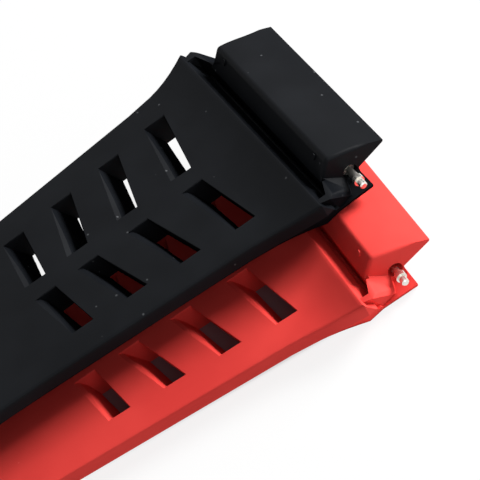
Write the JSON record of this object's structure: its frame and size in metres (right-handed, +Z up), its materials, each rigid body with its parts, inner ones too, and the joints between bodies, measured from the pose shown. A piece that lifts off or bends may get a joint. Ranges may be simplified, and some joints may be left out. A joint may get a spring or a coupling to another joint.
{
  "type": "silicone watch strap",
  "caption": "Two-piece silicone watch strap with vented flared ends, lug blocks on sprung bars, a tang buckle and keepers.",
  "frame": {"origin": "on the resting face of the lower half, on its centre line, under the ridge at its case end", "axes": "+X along the lower half towards its case end, +Y across it to the far side, +Z up from the resting face"},
  "size_m": [0.1228, 0.0378, 0.013],
  "materials": {
    "red_silicone": "matte moulded silicone",
    "black_silicone": "matte moulded silicone with a satin sheen",
    "bar_steel": "turned stainless steel",
    "spring_steel": "drawn spring wire",
    "buckle_steel": "fine brushed stainless steel"
  },
  "bodies": {
    "hole_half": {"hole_half": "red_silicone"},
    "hole_half_bar": {"hole_half_bar_tube": "bar_steel", "hole_half_bar_spring": "spring_steel"},
    "hole_half_tip_near": {"hole_half_bar_tip_near": "bar_steel"},
    "hole_half_tip_far": {"hole_half_bar_tip_far": "bar_steel"},
    "buckle_half": {"buckle_half": "black_silicone", "fixed_keeper": "black_silicone", "buckle_bar_tube": "bar_steel", "buckle_bar_spring": "spring_steel"},
    "buckle_half_bar": {"buckle_half_bar_tube": "bar_steel", "buckle_half_bar_spring": "spring_steel"},
    "buckle_half_tip_near": {"buckle_half_bar_tip_near": "bar_steel"},
    "buckle_half_tip_far": {"buckle_half_bar_tip_far": "bar_steel"},
    "buckle_tip_near": {"buckle_bar_tip_near": "bar_steel"},
    "buckle_tip_far": {"buckle_bar_tip_far": "bar_steel"},
    "buckle_frame": {"buckle_frame": "buckle_steel"},
    "buckle_tongue": {"buckle_tongue": "buckle_steel"},
    "free_keeper": {"free_keeper": "black_silicone"}
  },
  "joints": [
    {"name": "buckle_half_lift", "type": "slide", "parent": "hole_half", "child": "buckle_half", "axis": [0, 0, 1], "range_m": [0, 0.03]},
    {"name": "hole_half_bar_slide", "type": "slide", "parent": "hole_half", "child": "hole_half_bar", "axis": [0, 1, 0], "range_m": [-0.00095, 0.00185]},
    {"name": "hole_half_tip_near_press", "type": "slide", "parent": "hole_half_bar", "child": "hole_half_tip_near", "axis": [0, 1, 0], "range_m": [0, 0.0011], "stiffness_N_per_m": 300, "springref_m": -0.002, "deforming": ["hole_half_bar_spring"]},
    {"name": "hole_half_tip_far_press", "type": "slide", "parent": "hole_half_bar", "child": "hole_half_tip_far", "axis": [0, -1, 0], "range_m": [0, 0.0011], "stiffness_N_per_m": 300, "springref_m": -0.002, "deforming": ["hole_half_bar_spring"]},
    {"name": "buckle_half_bar_slide", "type": "slide", "parent": "buckle_half", "child": "buckle_half_bar", "axis": [-0.061, 0.9981, 0], "range_m": [-0.0005, 0.0023]},
    {"name": "buckle_half_tip_near_press", "type": "slide", "parent": "buckle_half_bar", "child": "buckle_half_tip_near", "axis": [-0.061, 0.9981, 0], "range_m": [0, 0.0011], "stiffness_N_per_m": 300, "springref_m": -0.002, "deforming": ["buckle_half_bar_spring"]},
    {"name": "buckle_half_tip_far_press", "type": "slide", "parent": "buckle_half_bar", "child": "buckle_half_tip_far", "axis": [0.061, -0.9981, 0], "range_m": [0, 0.0011], "stiffness_N_per_m": 300, "springref_m": -0.002, "deforming": ["buckle_half_bar_spring"]},
    {"name": "buckle_tip_near_press", "type": "slide", "parent": "buckle_half", "child": "buckle_tip_near", "axis": [-0.061, 0.9981, 0], "range_m": [0, 0.0011], "stiffness_N_per_m": 300, "springref_m": -0.002, "deforming": ["buckle_bar_spring"]},
    {"name": "buckle_tip_far_press", "type": "slide", "parent": "buckle_half", "child": "buckle_tip_far", "axis": [0.061, -0.9981, 0], "range_m": [0, 0.0011], "stiffness_N_per_m": 300, "springref_m": -0.002, "deforming": ["buckle_bar_spring"]},
    {"name": "buckle_frame_hinge", "type": "hinge", "parent": "buckle_half", "child": "buckle_frame", "pos_m": [-0.07067, 0.0042, 0.0072], "axis": [-0.061, 0.9981, 0], "range_deg": [0, 70]},
    {"name": "buckle_tongue_hinge", "type": "hinge", "parent": "buckle_frame", "child": "buckle_tongue", "pos_m": [-0.07067, 0.0042, 0.0072], "axis": [-0.061, 0.9981, 0], "range_deg": [0, 65]},
    {"name": "free_keeper_slide", "type": "slide", "parent": "buckle_half", "child": "free_keeper", "axis": [0.9981, 0.061, 0], "range_m": [-0.007, 0.009]}
  ]
}
